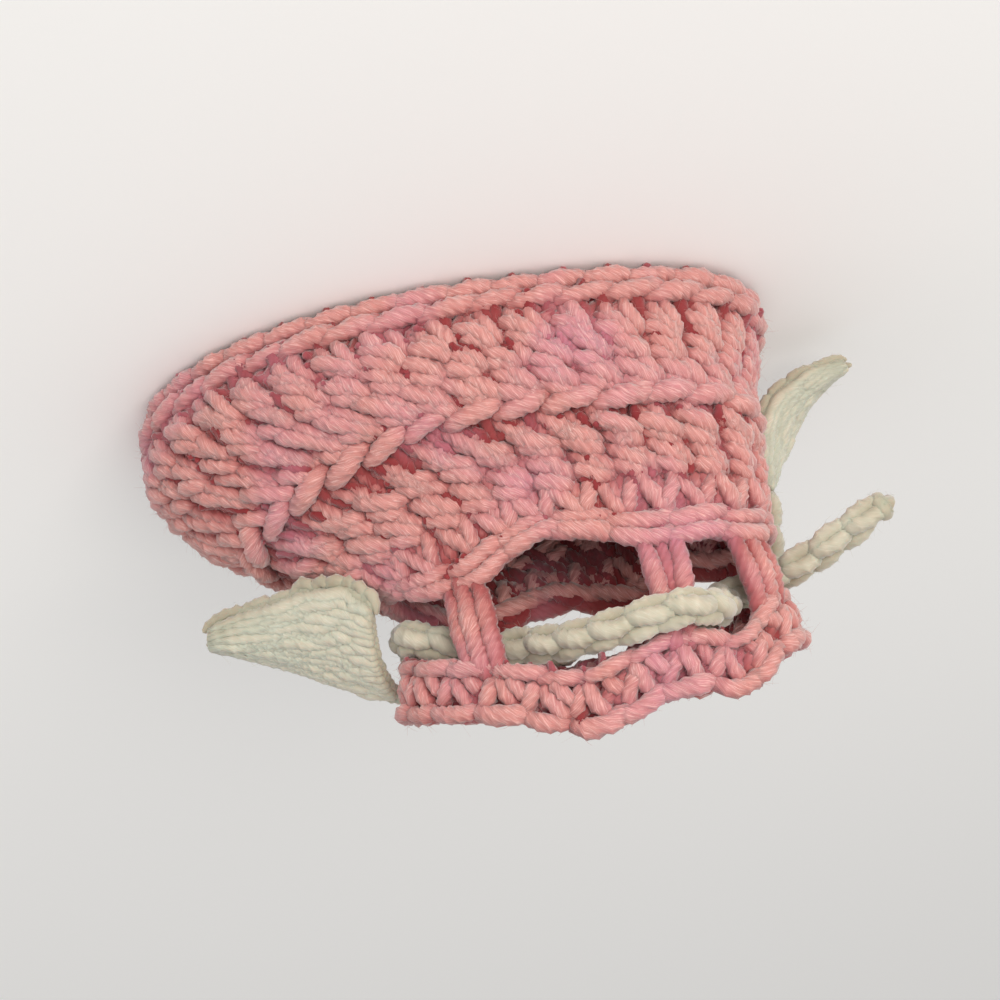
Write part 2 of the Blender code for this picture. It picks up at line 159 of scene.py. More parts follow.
def oval(turn, heel_x, toe_x, ball_half, heel_half, fullness):
    along, across = np.cos(turn), np.sin(turn)
    power = 2 / fullness
    half = mix(heel_half, ball_half, ease(BALL_FROM, BALL_TO, along))
    x = (heel_x + toe_x) / 2 + (toe_x - heel_x) / 2 * np.sign(along) * np.abs(along) ** power
    return x, half * np.sign(across) * np.abs(across) ** power


def gap_at(turn):
    """The post before each angle, and how far the angle is across the gap that follows it."""
    degrees = np.degrees(turn) % 360
    starts = np.append(POSTS[:, 0], POSTS[0, 0] + 360)
    turned = np.where(degrees < starts[0], degrees + 360, degrees)
    post = np.clip(np.searchsorted(starts, turned, side="right") - 1, 0, len(POSTS) - 1)
    return post, (turned - starts[post]) / (starts[post + 1] - starts[post])


def hem_arch(turn):
    post, share = gap_at(turn)
    dip = np.where(np.cos(turn) > 0, HEM_FRONT_DIP * np.cos(turn) ** 2, HEM_BACK_DIP * np.cos(turn) ** 4)
    return HEM_ARCH * POSTS[post, 1] * np.sin(np.pi * share) ** 2 - dip - HEM_LEAN * np.sin(turn)


def bare_surface(turn, level):
    """Level 0 is the sole's edge, 1 the ankle, 2 the foot of the hem and 3 its rim."""
    turn, level = np.broadcast_arrays(np.asarray(turn, float), np.asarray(level, float))
    rise = np.clip(level, 0, 1)
    row = np.interp(rise, FORM_SAMPLES[:, 0], FINE_ROWS)
    toe_rise, heel_in, toe_in, side_in = (np.interp(row, FINE_ROWS, FORM_SAMPLES[:, k]) for k in (1, 2, 3, 4))
    x, y = oval(
        turn, mix(HEEL_X, ANKLE_BACK_X, heel_in), mix(TOE_X, ANKLE_FRONT_X, toe_in),
        mix(BALL_WIDTH, ANKLE_WIDTH, side_in) / 2, mix(HEEL_WIDTH, ANKLE_WIDTH, side_in) / 2,
        mix(SOLE_FULLNESS, ANKLE_FULLNESS, side_in),
    )
    post, share = gap_at(turn)
    sag = EYELET_SAG * POSTS[post, 2] * np.sin(np.pi * share) ** 2 * ease(SAG_FROM, 1.0, rise)
    z = mix(UPPER_FOOT_Z, ANKLE_HEIGHT, mix(rise, toe_rise, np.maximum(np.cos(turn), 0) ** 2))
    z = z + np.minimum(level, 0) * (ANKLE_HEIGHT - UPPER_FOOT_Z)
    gap_share, hem_share = np.clip(level - 1, 0, 1), np.clip(level - 2, 0, 1.2)
    z = z - sag * (1 - gap_share) + gap_share * (EYELET_HEIGHT + hem_arch(turn)) + hem_share * HEM_HEIGHT
    flare = mix(-HEM_SIDE_PINCH, HEM_END_FLARE, np.cos(turn) ** 2) * hem_share
    centre = ANKLE_BACK_X + ANKLE_LENGTH / 2
    size = np.hypot(x - centre, y) + 1e-9
    return np.stack((x + flare * (x - centre) / size, y + flare * y / size, z), -1)


def wall_normal(turn, level):
    step = 2e-3
    level = np.clip(level, 0, 3)
    low, high = np.maximum(level - step, 0), np.minimum(level + step, 3)
    around = bare_surface(turn + step, level) - bare_surface(turn - step, level)
    rising = bare_surface(turn, high) - bare_surface(turn, low)
    normal = np.cross(around, rising)
    return normal / np.linalg.norm(normal, axis=-1, keepdims=True)


def on_wall(turn, level, out):
    """The point and the outward normal, with out in millimetres from the solid's outermost line."""
    turn, level, out = np.broadcast_arrays(turn, level, out)
    normal = wall_normal(turn, level)
    return bare_surface(turn, level) + normal * (out * MM)[..., None], normal


FINE_TURNS = np.linspace(0, 2 * np.pi, 721)


def lengths_along(line):
    """How far along a line each of its points lies."""
    return np.append(0, np.cumsum(np.linalg.norm(np.diff(line, axis=0), axis=1)))


def round_lengths(level):
    return lengths_along(bare_surface(FINE_TURNS, np.full_like(FINE_TURNS, level)))


def even_turns(share, level):
    """The angle at a share of the round's length, so that stitches are as wide at the toe as at the sides."""
    steps = round_lengths(level)
    whole = np.floor(share)
    return np.interp((share - whole) * steps[-1], steps, FINE_TURNS) + whole * 2 * np.pi


rounds_mm = [round_lengths(level)[-1] / MM for level in (0, 1)]
print("round at the sole and at the ankle, mm:", np.round(rounds_mm))

# %% [markdown]
# ## Yarn
# The yarn has six soft plies that wind round each other. A strand could be a plain tube with a twisted bump,
# but then its edge would be smooth. Here the tube's own columns of points wind with the plies, every second
# one a little lower, so twelve sides are enough to model all six. The UV map holds the place round the plies
# and the length in millimetres. Another attribute says how deep in the fabric a point lies. The materials
# paint shade from it, darker and redder deep in the gaps, and a lighter painted highlight on each crown.

# %% Lay strands as one mesh
PLIES = 6
WHITE_RELIEF = 0.35
SIDES = 2 * PLIES
PLY_DEPTH = 0.09
TURNS_PER_MM = 0.115
# A point's depth is 1 from TOP_OUT millimetres out of the wall and falls to 0 over FADE_MM further in; the
# materials paint shade and highlight from it.
TOP_OUT, FADE_MM = 1.2, 3.1
FLOOR_CLEAR = 0.00002
THIN_END = 0.40
START_SPREAD = 60


def yarn_object(name, points, faces, material, depths=None, uvs=None):
    """An object with the UV map and the depth that the materials read."""
    mesh = bpy.data.meshes.new(name)
    mesh.from_pydata(points.tolist(), [], faces)
    uv = mesh.uv_layers.new(name="strand")
    if uvs is not None:
        uv.data.foreach_set("uv", uvs)
    # Without given depths every point lies at depth 0, so the object shows only the painted shade colour.
    depth = mesh.attributes.new("depth", "FLOAT", "POINT")
    if depths is not None:
        depth.data.foreach_set("value", depths)
    mesh.shade_smooth()
    mesh.materials.append(material)
    return linked(name, mesh)


class Skein:
    """Collects strands and winds them into one object."""

    def __init__(self, name, relief=1.0):
        self.relief = relief
        self.name, self.points, self.faces, self.uvs, self.depths, self.count = name, [], [], [], [], 0
        self.roots = []

    def lay(self, controls, normals, outs, radius, step=0.9, sides=SIDES):
        """controls and normals are (strands, points, 3); outs is (strands, points), in millimetres out of the
        wall."""
        strands = len(controls)
        lengths = np.linalg.norm(np.diff(controls, axis=1), axis=2).sum(1)
        rows = max(6, int(lengths.mean() / MM / step) + 1)
        share = np.linspace(0, 1, rows)
        line = through(controls.swapaxes(0, 1), share).swapaxes(0, 1)
        guide = through(normals.swapaxes(0, 1), share).swapaxes(0, 1)
        height = through(outs.T, share).T
        along = np.gradient(line, axis=1)
        along /= np.linalg.norm(along, axis=2, keepdims=True) + 1e-12
        side = np.empty_like(line)
        now = guide[:, 0]
        for k in range(rows):
            now = now - (now * along[:, k]).sum(1, keepdims=True) * along[:, k]
            now = now / (np.linalg.norm(now, axis=1, keepdims=True) + 1e-12)
            side[:, k] = now
        other = np.cross(along, side)
        steps = np.linalg.norm(np.diff(line, axis=1), axis=2) / MM
        v = np.concatenate((np.zeros((strands, 1)), np.cumsum(steps, 1)), 1)
        v = v + rng.uniform(0, START_SPREAD, (strands, 1))
        plump = THIN_END + (1 - THIN_END) * np.sin(np.pi * share) ** 0.5
        slow, quick = np.sin(v * 1.3 + v[:, :1]), np.sin(v * 2.9 - v[:, :1] * 3)
        lumps = 1 + self.relief * (0.05 * slow + 0.035 * quick)
        size = np.asarray(radius, float).reshape(-1, 1) * MM * plump * lumps
        wobble = 0.030 * np.sin(v * 0.8 + v[:, :1] * 5) + 0.016 * np.sin(v * 2.3 + v[:, :1])
        theta = 2 * np.pi * (np.arange(sides) / sides + TURNS_PER_MM * v[..., None] + wobble[..., None])
        uneven_grooves = 1 + 0.7 * np.sin(v[..., None] * 0.6 + np.arange(sides) * 2.1 + v[:, :1, None] * 3)
        lobed = 1 - self.relief * PLY_DEPTH * uneven_grooves * (np.arange(sides) % 2) * (sides == SIDES)
        ring = side[:, :, None] * np.cos(theta)[..., None] + other[:, :, None] * np.sin(theta)[..., None]
        body = line[:, :, None] + ring * (size[..., None] * lobed)[..., None]
        body[..., 2] = np.maximum(body[..., 2], FLOOR_CLEAR)
        outward = (ring * guide[:, :, None]).sum(-1) * size[..., None] / MM
        # How deep in the fabric each point lies, for the painted shade in the gaps and the painted highlight
        # on the crowns.
        depth = np.clip(1 + (height[..., None] + outward - TOP_OUT) / FADE_MM, 0, 1)
        first = self.count
        index = first + np.arange(strands * rows * sides).reshape(strands, rows, sides)
        after = np.roll(index, -1, 2)
        quads = np.stack((index[:, :-1], after[:, :-1], after[:, 1:], index[:, 1:]), -1).reshape(-1, 4)
        u0 = np.broadcast_to(np.arange(sides) / sides, (strands, rows - 1, sides))
        low = np.broadcast_to(v[:, :-1, None], u0.shape)
        high = np.broadcast_to(v[:, 1:, None], u0.shape)
        uv = np.stack((u0, low, u0 + 1 / sides, low, u0 + 1 / sides, high, u0, high), -1)
        self.points.append(body.reshape(-1, 3))
        self.depths.append(depth.reshape(-1))
        self.faces.append(quads)
        self.uvs.append(uv.reshape(-1, 2))
        for end, sign in ((0, -1), (-1, 1)):
            centre = first + strands * rows * sides + (0 if end == 0 else strands) + np.arange(strands)
            rim, rim_after = index[:, end], after[:, end]
            order = (rim_after, rim) if sign < 0 else (rim, rim_after)
            fan = np.broadcast_to(centre[:, None], rim.shape)
            self.faces.append(np.stack((fan, *order), -1).reshape(-1, 3))
            cap = line[:, end] + along[:, end] * sign * size[:, end:][:, :1] * 0.6
            cap[:, 2] = np.maximum(cap[:, 2], FLOOR_CLEAR)
            self.points.append(cap)
            self.depths.append(depth[:, end].mean(1))
            self.uvs.append(np.stack((np.zeros(strands * sides * 3), v[:, end].repeat(sides * 3)), -1))
        self.count = first + strands * rows * sides + 2 * strands
        inner = slice(1, -1)
        roots = np.concatenate((body[:, inner], ring[:, inner], depth[:, inner, :, None]), -1)
        self.roots.append(roots.reshape(-1, 7))

    def wind(self, material):
        faces = [face for part in self.faces for face in part.tolist()]
        print(self.name, "triangles:", sum(len(face) - 2 for face in faces))
        return yarn_object(
            self.name, np.concatenate(self.points), faces, material,
            np.concatenate(self.depths), np.concatenate(self.uvs).reshape(-1))


print("plies:", PLIES, "in a strand,", round(1 / TURNS_PER_MM, 1), "mm for each turn")

# %% [markdown]
# ## Materials
# Both yarns are soft acrylic: a rough base, a little sheen from the loose fibres and fine streaks that follow
# the plies. Light and shade are painted into the colour: painted shade deepens into the gaps and the grooves
# between the plies, and the crowns and the streaks on them carry a lighter painted highlight. The plies and
# streaks are one node group, which both yarns use.

# %% Ply and fibre group
def socket(group, name, way, default=None):
    made = group.interface.new_socket(name, in_out=way, socket_type="NodeSocketFloat")
    if default is not None:
        made.default_value = default
    return made


def chain(tree, operation, first, second=None):
    """A Math node fed by sockets or numbers; gives its output."""
    node = tree.nodes.new("ShaderNodeMath")
    node.operation = operation
    for slot, value in enumerate((first, second)):
        if value is None:
            continue
        if isinstance(value, (int, float)):
            node.inputs[slot].default_value = value
        else:
            tree.links.new(value, node.inputs[slot])
    return node.outputs[0]


def times(tree, first, second):
    return chain(tree, "MULTIPLY", first, second)


def ply_group():
    group = bpy.data.node_groups.new("yarn plies", "ShaderNodeTree")
    socket(group, "Plies", "INPUT", default=float(PLIES))
    socket(group, "Streaks", "INPUT", default=7.0)
    for name in ("Groove", "Fibres", "Tint", "Height"):
        socket(group, name, "OUTPUT")
    start, end = group.nodes.new("NodeGroupInput"), group.nodes.new("NodeGroupOutput")
    uv = group.nodes.new("ShaderNodeUVMap")
    uv.uv_map = "strand"
    split = group.nodes.new("ShaderNodeSeparateXYZ")
    group.links.new(uv.outputs[0], split.inputs[0])
    angle = times(group, split.outputs[0], 2 * math.pi)
    waves = chain(group, "COSINE", times(group, angle, start.outputs["Plies"]))
    crest = chain(group, "ADD", times(group, waves, 0.5), 0.5)
    groove = chain(group, "POWER", crest, 0.6)
    around = group.nodes.new("ShaderNodeCombineXYZ")
    for slot, wave in enumerate(("COSINE", "SINE")):
        spread = times(group, chain(group, wave, angle), start.outputs["Streaks"])
        group.links.new(spread, around.inputs[slot])
    group.links.new(times(group, split.outputs[1], 0.5), around.inputs[2])
    fibre = group.nodes.new("ShaderNodeTexNoise")
    fibre.inputs["Scale"].default_value = 1.5
    fibre.inputs["Detail"].default_value = 3.0
    fibre.inputs["Roughness"].default_value = 0.65
    group.links.new(around.outputs[0], fibre.inputs["Vector"])
    place = group.nodes.new("ShaderNodeTexCoord")
    tint = group.nodes.new("ShaderNodeTexNoise")
    tint.inputs["Scale"].default_value = 70.0
    tint.inputs["Detail"].default_value = 2.0
    group.links.new(place.outputs["Object"], tint.inputs["Vector"])
    height = chain(group, "ADD", times(group, groove, 0.5), times(group, fibre.outputs[0], 0.7))
    given = {"Groove": groove, "Fibres": fibre.outputs[0], "Tint": tint.outputs[0], "Height": height}
    for name, value in given.items():
        group.links.new(value, end.inputs[name])
    return group


YARN_PLIES = ply_group()
print("node group:", YARN_PLIES.name)


# %% Yarn materials
# Where each layer of colour starts and ends, on the depth, tint, fibre or groove that drives it.
# The depth, crown, groove and streak layers are painted shade and painted highlight.
OUT_OF_THE_DEEP, ON_THE_CROWN = (0.05, 0.60), (0.62, 1.02)
IN_PATCHES, UNEVEN_GROOVE_SHADE, IN_GROOVES, ON_STREAKS = (0.48, 0.72), (0.25, 0.75), (0.85, 0.10), (0.48, 0.76)
PATCH_STRENGTH = 0.75
BUMP_DEPTH = 0.00035
YARN_SHADER = {
    "Roughness": 0.72, "Specular IOR Level": 0.25, "Sheen Weight": 0.50, "Sheen Roughness": 0.45,
    "Subsurface Weight": 0.25, "Subsurface Radius": (1.0, 0.35, 0.30), "Subsurface Scale": 0.0012,
}


def colour_mix(tree, factor, first, second):
    node = tree.nodes.new("ShaderNodeMix")
    node.data_type = "RGBA"
    for slot, value in ((0, factor), (6, first), (7, second)):
        if isinstance(value, tuple):
            node.inputs[slot].default_value = (*value, 1.0)
        else:
            tree.links.new(value, node.inputs[slot])
    return node.outputs[2]


def ramp(tree, value, low, high):
    node = tree.nodes.new("ShaderNodeMapRange")
    node.inputs["From Min"].default_value, node.inputs["From Max"].default_value = low, high
    tree.links.new(value, node.inputs["Value"])
    return node.outputs[0]


def yarn_material(name, light, middle, painted_shade, tinted, streak_highlight, bump, contrast):
    made = bpy.data.materials.new(name)
    made.use_nodes = True
    tree = made.node_tree
    shader = tree.nodes["Principled BSDF"]
    plies = tree.nodes.new("ShaderNodeGroup")
    plies.node_tree = YARN_PLIES
    depth = tree.nodes.new("ShaderNodeAttribute")
    depth.attribute_name = "depth"
    # Painted shade and highlight from the depth: the darkest colour in the gaps, the middle colour on a
    # strand's sides and the light colour on its crown.
    crown = ramp(tree, depth.outputs["Fac"], *ON_THE_CROWN)
    base = colour_mix(tree, ramp(tree, depth.outputs["Fac"], *OUT_OF_THE_DEEP), painted_shade, middle)
    base = colour_mix(tree, crown, base, light)
    patches = ramp(tree, plies.outputs["Tint"], *IN_PATCHES)
    base = colour_mix(tree, times(tree, patches, PATCH_STRENGTH), base, tinted)
    # Painted shade in the grooves between the plies, stronger or weaker along the fibre noise.
    uneven_grooves = times(tree, ramp(tree, plies.outputs["Fibres"], *UNEVEN_GROOVE_SHADE), contrast)
    grooves = ramp(tree, plies.outputs["Groove"], *IN_GROOVES)
    base = colour_mix(tree, times(tree, grooves, uneven_grooves), base, painted_shade)
    # Painted highlight: the fibre streaks turn bright only on the lit crowns.
    highlight_streaks = ramp(tree, plies.outputs["Fibres"], *ON_STREAKS)
    base = colour_mix(tree, times(tree, highlight_streaks, crown), base, streak_highlight)
    tree.links.new(base, shader.inputs["Base Color"])
    relief = tree.nodes.new("ShaderNodeBump")
    relief.inputs["Strength"].default_value = bump
    relief.inputs["Distance"].default_value = BUMP_DEPTH
    tree.links.new(plies.outputs["Height"], relief.inputs["Height"])
    tree.links.new(relief.outputs[0], shader.inputs["Normal"])
    for name, value in YARN_SHADER.items():
        shader.inputs[name].default_value = value
    return made


# The lightest colours, for the crowns and the fibre streaks, are painted highlight; the darkest, for the gaps
# and grooves, is painted shade.
PINK_YARN = yarn_material(
    "pink yarn, crocheted", light=(0.60, 0.265, 0.240), middle=(0.385, 0.097, 0.094),
    painted_shade=(0.25, 0.026, 0.030), tinted=(0.56, 0.22, 0.29), streak_highlight=(0.88, 0.58, 0.54), bump=0.38, contrast=0.42)
WHITE_YARN = yarn_material(
    "white yarn, crocheted", light=(0.57, 0.53, 0.42), middle=(0.44, 0.40, 0.30), painted_shade=(0.29, 0.25, 0.18),
    tinted=(0.55, 0.52, 0.42), streak_highlight=(0.71, 0.69, 0.61), bump=0.12, contrast=0.08)
print("materials:", PINK_YARN.name, "and", WHITE_YARN.name)

# %% [markdown]
# ## Rounds of stitches
# One stitch is a few short strands. Each is written once as a small chart: how far along the stitch, how far
# up the round, and how far out in millimetres. A loop then repeats the chart all the way round, with small
# uneven shifts, as hand work has. Strands start and end below the surface, so their ends are never seen.

# %% Stitch charts
def mirrored(stroke):
    """The same stroke, leaning the other way along the stitch."""
    return tuple((1 - along, up, out) for along, up, out in stroke)


RIDGE_LOOP = (
    ((-0.34, -0.16, -1.7), (-0.14, -0.08, -0.6), (0.14, 0.04, 0.2),
     (0.56, 0.20, 0.4), (0.98, 0.34, -0.2), (1.20, 0.40, -1.4)),
)
CHAIN_LOOP = (
    ((-0.30, -0.50, -1.5), (-0.06, -0.36, -0.4), (0.30, -0.14, 0.2),
     (0.70, 0.02, 0.2), (1.02, 0.02, -0.4), (1.20, -0.06, -1.5)),
    ((-0.30, 0.50, -1.6), (-0.06, 0.68, -0.5), (0.30, 0.90, 0.2),
     (0.70, 0.98, 0.2), (1.02, 0.90, -0.4), (1.20, 0.76, -1.5)),
)
UNDER_LEG = (
    (0.00, 0.00, -1.35), (0.10, 0.20, -1.05), (0.30, 0.50, -0.95), (0.50, 0.80, -1.05), (0.60, 1.00, -1.35),
)
UNDER_STITCH = (UNDER_LEG, tuple((along + 0.5, up, out) for along, up, out in UNDER_LEG))
HALF_TREBLE = (
    ((0.66, -0.10, -1.5), (0.58, 0.10, -0.4), (0.44, 0.34, 0.1),
     (0.28, 0.62, 0.1), (0.16, 0.84, -0.3), (0.10, 1.00, -1.3)),
    ((0.98, -0.08, -1.6), (0.90, 0.12, -0.6), (0.76, 0.36, -0.1),
     (0.58, 0.62, -0.2), (0.44, 0.82, -0.6), (0.38, 0.96, -1.4)),
    ((1.10, 0.36, -1.5), (0.98, 0.42, -0.2), (0.72, 0.54, 0.4),
     (0.44, 0.72, 0.5), (0.26, 0.92, 0.0), (0.20, 1.04, -1.2)),
    ((1.10, 0.60, -1.5), (0.98, 0.66, -0.3), (0.74, 0.76, 0.3),
     (0.48, 0.90, 0.3), (0.30, 1.04, -0.2), (0.24, 1.12, -1.3)),
)
PUFF = (
    ((1.02, 0.10, -1.4), (0.88, 0.18, -0.2), (0.64, 0.36, 0.3),
     (0.38, 0.60, 0.2), (0.20, 0.84, -0.3), (0.12, 0.98, -1.3)),
    ((0.60, -0.06, -1.5), (0.52, 0.10, -0.4), (0.36, 0.32, 0.0),
     (0.20, 0.58, 0.0), (0.06, 0.80, -0.4), (-0.02, 0.94, -1.4)),
    ((1.10, 0.62, -1.4), (0.96, 0.68, -0.2), (0.72, 0.78, 0.3),
     (0.48, 0.92, 0.2), (0.32, 1.04, -0.3), (0.24, 1.12, -1.3)),
)
TALL_POST = (
    ((0.98, -0.14, -1.5), (0.86, 0.08, -0.2), (0.64, 0.38, 0.3),
     (0.42, 0.68, 0.1), (0.22, 0.92, -0.3), (0.10, 1.06, -1.4)),
    ((0.58, -0.12, -1.6), (0.54, 0.10, -0.5), (0.52, 0.38, -0.1),
     (0.56, 0.68, -0.1), (0.66, 0.92, -0.4), (0.74, 1.06, -1.4)),
    ((1.06, 0.26, -1.5), (0.92, 0.32, -0.2), (0.66, 0.44, 0.6),
     (0.36, 0.58, 0.5), (0.14, 0.68, -0.2), (0.04, 0.74, -1.4)),
    ((1.00, 0.60, -1.6), (0.88, 0.62, -0.4), (0.66, 0.70, 0.3),
     (0.40, 0.82, 0.2), (0.24, 0.92, -0.4), (0.16, 0.98, -1.5)),
)
LOW_LEG = (
    (0.00, -0.04, -1.5), (0.06, 0.14, -0.4), (0.18, 0.38, 0.1),
    (0.34, 0.66, 0.1), (0.44, 0.88, -0.4), (0.48, 1.00, -1.4),
)
LOW_STITCH = (
    LOW_LEG, mirrored(LOW_LEG),
    ((0.46, -0.02, -1.6), (0.47, 0.12, -0.9), (0.50, 0.30, -0.5),
     (0.52, 0.50, -0.6), (0.52, 0.66, -1.0), (0.52, 0.78, -1.7)),
)
FLAT_LEG = (
    (0.00, 0.00, -1.5), (0.06, 0.20, -0.6), (0.18, 0.46, 0.0),
    (0.32, 0.74, 0.1), (0.42, 0.96, -0.4), (0.46, 1.08, -1.4),
)
FLAT_STITCH = (
    FLAT_LEG, mirrored(FLAT_LEG),
    ((-0.16, 0.82, -1.5), (0.00, 0.92, -0.5), (0.28, 1.02, 0.3),
     (0.62, 1.06, 0.2), (0.94, 1.00, -0.5), (1.06, 0.92, -1.5)),
)
HEM_STITCH = (
    ((0.00, -0.12, -1.4), (0.05, 0.12, -0.4), (0.14, 0.40, 0.1),
     (0.25, 0.68, 0.1), (0.33, 0.90, -0.4), (0.36, 1.02, -1.3)),
    ((1.00, -0.12, -1.4), (0.95, 0.12, -0.4), (0.87, 0.40, 0.1),
     (0.76, 0.68, 0.0), (0.67, 0.90, -0.4), (0.64, 1.02, -1.3)),
    ((0.58, -0.14, -1.5), (0.54, 0.04, -0.5), (0.50, 0.22, 0.0),
     (0.40, 0.40, 0.0), (0.26, 0.54, -0.4), (0.18, 0.62, -1.3)),
)
SOLE_LOOP = (
    ((-0.30, 0.06, -2.0), (-0.14, 0.10, -0.9), (0.14, 0.20, 0.0),
     (0.56, 0.38, 0.2), (0.98, 0.54, -0.3), (1.16, 0.60, -1.6)),
)
RIM_LOOP = (
    ((-0.20, 0.42, -1.0), (0.02, 0.58, -0.2), (0.28, 0.90, 0.2),
     (0.66, 1.00, 0.1), (0.96, 0.76, -0.3), (1.14, 0.50, -1.1)),
)
SINK = -0.95


def work_row(skein, chart, count, spot, radius, shift=0.0, loose=1.0, **lay):
    """Repeats a chart count times. spot turns (share of the row, up, out) into points and outward normals."""
    def wander(points, whole, each):
        """Uneven shifts of whole strands and of each of their points."""
        return rng.normal(0, whole * loose, (count, 1)) + rng.normal(0, each * loose, (count, points))

    for stroke in chart:
        along, up, out = np.array(stroke).T
        along = along + np.arange(count)[:, None] + shift + wander(len(stroke), 0.05, 0.03)
        up = up + wander(len(stroke), 0.04, 0.025)
        out = out + wander(len(stroke), 0.16, 0.08)
        points, normals = spot(along / count, up, out)
        skein.lay(points, normals, out, radius * rng.uniform(0.90, 1.10, count), **lay)


CLIMB = 0.035


def climb(level, turn):
    """The side rounds lie a little higher over the toe than the solid's own rounds do."""
    return level + CLIMB * np.sin(np.pi * np.clip(level, 0, 1)) * ease(-0.1, 0.6, np.cos(turn))


def round_spot(low, high, inside=False, sink=SINK):
    """Where a round's stitches lie between two levels of the wall, on its outer or its inner side."""
    def spot(share, up, out):
        turn = even_turns(share, (low + high) / 2)
        level = climb(mix(low, high, up), turn)
        if inside:
            points, normals = on_wall(turn, level, -out - WALL / MM - sink)
            return points, -normals
        return on_wall(turn, level, out + sink)
    return spot


print("strands in a tall stitch:", len(TALL_POST))

# %% [markdown]
# ## The wall behind the stitches
# Between the strands of real crochet one sees more yarn, deep in shadow. A thin shell of painted shade, in
# the deep shade colour throughout, stands just behind the strands: a sleeve below the eyelets and a band
# above them, which leave the eyelets open.

# %% Backing shell
def closed_rings(name, rings, material):
    """A skin over rings of points, the last joined to the first."""
    count, columns = len(rings), len(rings[0])
    row, column = np.meshgrid(np.arange(count), np.arange(columns), indexing="ij")
    over, beside = (row + 1) % count, (column + 1) % columns
    corners = ((row, column), (row, beside), (over, beside), (over, column))
    faces = np.stack([r * columns + c for r, c in corners], -1).reshape(-1, 4)
    return yarn_object(name, np.concatenate(rings), faces.tolist(), material)


def sleeve(name, low, high, levels, material, outer=-1.8, inner=-2.2, columns=150):
    """A closed band between two levels, with a skin on each side."""
    turn = np.linspace(0, 2 * np.pi, columns, endpoint=False)
    rings = []
    for out, steps in ((outer, np.linspace(low, high, levels)), (inner, np.linspace(high, low, levels))):
        rings += [on_wall(turn, np.full(columns, level), out)[0] for level in steps]
    return closed_rings(name, rings, material)


upper_pieces = [
    sleeve("wall_backing", 0.0, 0.95, 26, PINK_YARN),
    sleeve("hem_backing", 2.10, 2.86, 7, PINK_YARN),
]
print("backing pieces:", [piece.name for piece in upper_pieces])

# %% Rounds of the upper
ROUNDS = (
    # name, chart, stitches, low, high, radius of the strand, in millimetres
    ("sole_ridge_yarn", SOLE_LOOP, 36, 0.010, 0.085, 1.45),
    ("first_side_round", HALF_TREBLE, 35, 0.075, 0.225, 1.28),
    ("second_side_round", PUFF, 39, 0.205, 0.315, 1.25),
    ("second_side_round", PUFF, 35, 0.300, 0.415, 1.30),
    ("side_ridge_yarn", RIDGE_LOOP, 28, 0.415, 0.500, 1.58),
    ("tall_round", TALL_POST, 28, 0.470, 0.615, 1.34),
    ("tall_round", PUFF, 27, 0.600, 0.715, 1.30),
    ("ankle_round", LOW_STITCH, 25, 0.700, 0.880, 1.30),
    ("eyelet_chain", CHAIN_LOOP, 17, 0.905, 0.975, 1.42),
)
INNER_ROUNDS = (
    ("inner_low_yarn", HALF_TREBLE, 32, 0.03, 0.23, 1.30),
    ("inner_low_yarn", HALF_TREBLE, 32, 0.22, 0.41, 1.30),
    ("inner_high_yarn", FLAT_STITCH, 28, 0.40, 0.52, 1.30),
    ("inner_high_yarn", TALL_POST, 26, 0.50, 0.71, 1.30),
    ("inner_high_yarn", FLAT_STITCH, 25, 0.70, 0.90, 1.25),
    ("inner_high_yarn", RIDGE_LOOP, 19, 0.90, 0.98, 1.30),
)
UNDER_LAP, PROUD = 0.03, 0.35
UNDER_RADIUS, UNDER_CROWD, ROUND_SHIFT = 1.15, 1.6, 0.37
# Strands that lie behind others have fewer rows and sides.
UNDER, INNER = {"step": 1.4, "sides": 8}, {"step": 1.3, "sides": 8}
wound = {}
for place, (name, chart, count, low, high, radius) in enumerate(ROUNDS):
    wound.setdefault(name, Skein(name))
    if len(chart) > 2:
        under = round_spot(max(low - UNDER_LAP, 0), high + UNDER_LAP)
        work_row(wound[name], UNDER_STITCH, round(UNDER_CROWD * count), under, UNDER_RADIUS, **UNDER)
    spot = round_spot(low, high, sink=SINK + PROUD * (chart is RIDGE_LOOP))
    work_row(wound[name], chart, count, spot, radius, shift=ROUND_SHIFT * place)
for place, (name, chart, count, low, high, radius) in enumerate(INNER_ROUNDS):
    wound.setdefault(name, Skein(name))
    spot = round_spot(low, high, inside=True)
    work_row(wound[name], chart, count, spot, radius, shift=ROUND_SHIFT * place, **INNER)

# %% Hem
HEM_STITCHES, HEM_UNDER_STITCHES = 21, 32
hem = wound["hem_yarn"] = Skein("hem_yarn")
work_row(hem, RIDGE_LOOP, HEM_STITCHES, round_spot(1.97, 2.14), 1.20)
work_row(hem, UNDER_STITCH, HEM_UNDER_STITCHES, round_spot(2.05, 2.70), UNDER_RADIUS, **UNDER)
work_row(hem, HEM_STITCH, HEM_STITCHES, round_spot(2.10, 2.80), 1.22)
work_row(hem, RIM_LOOP, HEM_STITCHES, round_spot(2.70, 2.96), 1.40, shift=0.5)
work_row(hem, HEM_STITCH, HEM_STITCHES, round_spot(2.02, 2.80, inside=True), 1.20, **INNER)

# %% [markdown]
# ## Eyelet posts
# Six bundles of three strands stand between the chain and the hem. In every other one the outer two are apart
# at the chain and meet at the hem, and in the rest all three lean as they rise.

